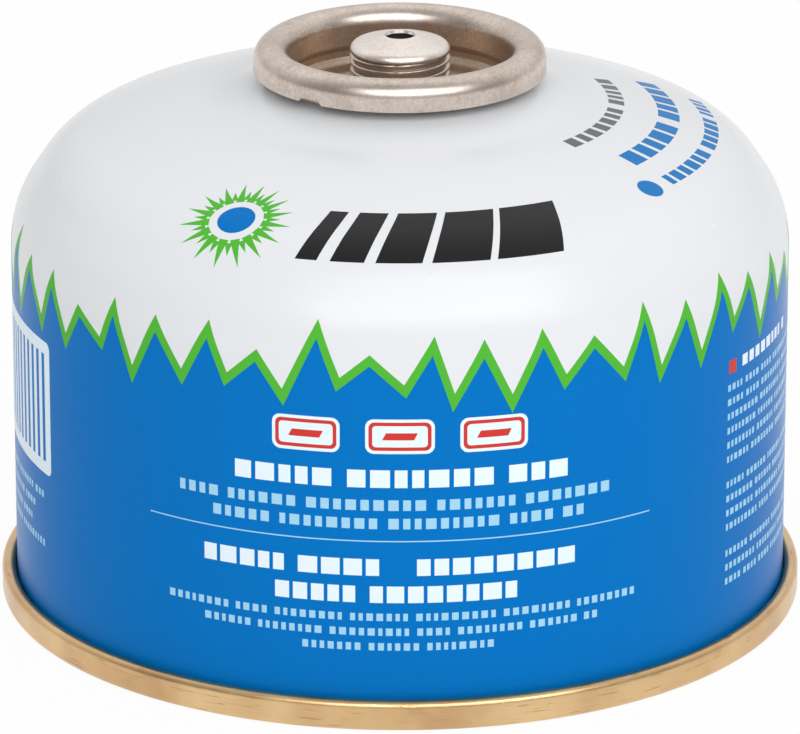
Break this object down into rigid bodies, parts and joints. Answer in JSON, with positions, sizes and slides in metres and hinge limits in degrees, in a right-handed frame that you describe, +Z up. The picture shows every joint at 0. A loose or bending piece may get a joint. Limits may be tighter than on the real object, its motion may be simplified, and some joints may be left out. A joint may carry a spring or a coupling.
{
  "type": "screw-valve fuel canister",
  "caption": "Low round gas fuel canister with a domed white top, a blue printed wall, a gold foot seam and a threaded valve post in a crimped ring.",
  "frame": {"origin": "centre of the foot's resting plane, on the axis of revolution", "axes": "+Z up along the axis through the valve post; -Y is the front of the print, +X to its right"},
  "size_m": [0.09, 0.09, 0.0645],
  "materials": {
    "painted_steel": "gloss white enamel with a blue printed wall",
    "gold_lacquer": "clear gold lacquer over steel, fine scratches",
    "tinplate": "bright drawn tinplate with a soft sheen",
    "rubber": "matt black",
    "acetal": "off-white moulded",
    "spring_steel": "drawn wire"
  },
  "bodies": {
    "canister": {"can_body": "painted_steel", "base_end": "gold_lacquer", "valve_cup": "tinplate", "cup_gasket": "rubber", "stem_gasket": "rubber", "valve_housing": "acetal", "valve_spring": "spring_steel"},
    "stem": {"valve_stem": "acetal"}
  },
  "joints": [
    {"name": "stem_press", "type": "slide", "parent": "canister", "child": "stem", "axis": [0, 0, -1], "range_m": [0, 0.0015], "stiffness_N_per_m": 2500, "springref_m": -0.002, "deforming": ["valve_spring"]}
  ]
}
